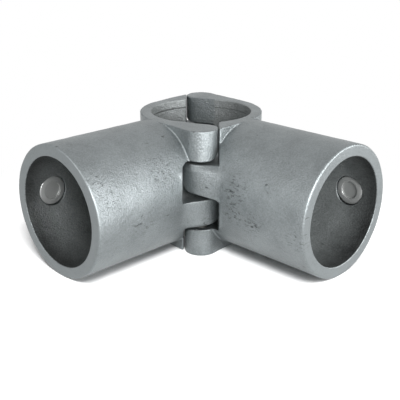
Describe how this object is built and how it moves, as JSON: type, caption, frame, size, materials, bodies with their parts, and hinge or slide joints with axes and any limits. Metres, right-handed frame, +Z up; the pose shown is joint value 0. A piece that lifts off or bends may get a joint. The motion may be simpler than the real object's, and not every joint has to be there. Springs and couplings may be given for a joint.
{
  "type": "three-way tube clamp",
  "caption": "Hinged two-part cast clamp that closes round an upright tube and holds two level tubes at a right-angled corner, locked by set screws.",
  "frame": {"origin": "on the post axis, at mid height of the collar, where the two rail axes meet it", "axes": "+Z up the post; the rails lie in the XY plane and open towards -Y, left rail towards -X-Y and right rail towards +X-Y"},
  "size_m": [0.1668, 0.1247, 0.0596],
  "materials": {
    "galvanised_iron": "hot-dip galvanised, fine grain",
    "screw_steel": "zinc plated, dull",
    "pin_steel": "ground steel"
  },
  "bodies": {
    "left_half": {"left_casting": "galvanised_iron", "hinge_pin": "pin_steel"},
    "right_half": {"right_casting": "galvanised_iron"},
    "left_rail_screw": {"left_rail_screw": "screw_steel"},
    "left_post_screw": {"left_post_screw": "screw_steel"},
    "right_rail_screw": {"right_rail_screw": "screw_steel"},
    "right_post_screw": {"right_post_screw": "screw_steel"},
    "lock_screw": {"lock_screw": "screw_steel"}
  },
  "joints": [
    {"name": "clamp_swing", "type": "hinge", "parent": "left_half", "child": "right_half", "pos_m": [0, 0.035, 0], "axis": [0, 0, 1], "range_deg": [0, 90]},
    {"name": "left_rail_screw_travel", "type": "slide", "parent": "left_half", "child": "left_rail_screw", "axis": [0.7071, -0.7071, 0], "range_m": [-0.006, 0.0015]},
    {"name": "left_post_screw_travel", "type": "slide", "parent": "left_half", "child": "left_post_screw", "axis": [0.7071, -0.7071, 0], "range_m": [-0.006, 0.0015]},
    {"name": "right_rail_screw_travel", "type": "slide", "parent": "right_half", "child": "right_rail_screw", "axis": [-0.7071, -0.7071, 0], "range_m": [-0.006, 0.0015]},
    {"name": "right_post_screw_travel", "type": "slide", "parent": "right_half", "child": "right_post_screw", "axis": [-0.7071, -0.7071, 0], "range_m": [-0.006, 0.0015]},
    {"name": "lock_screw_travel", "type": "slide", "parent": "right_half", "child": "lock_screw", "axis": [0, 0, 1], "range_m": [0, 0.0052]}
  ]
}
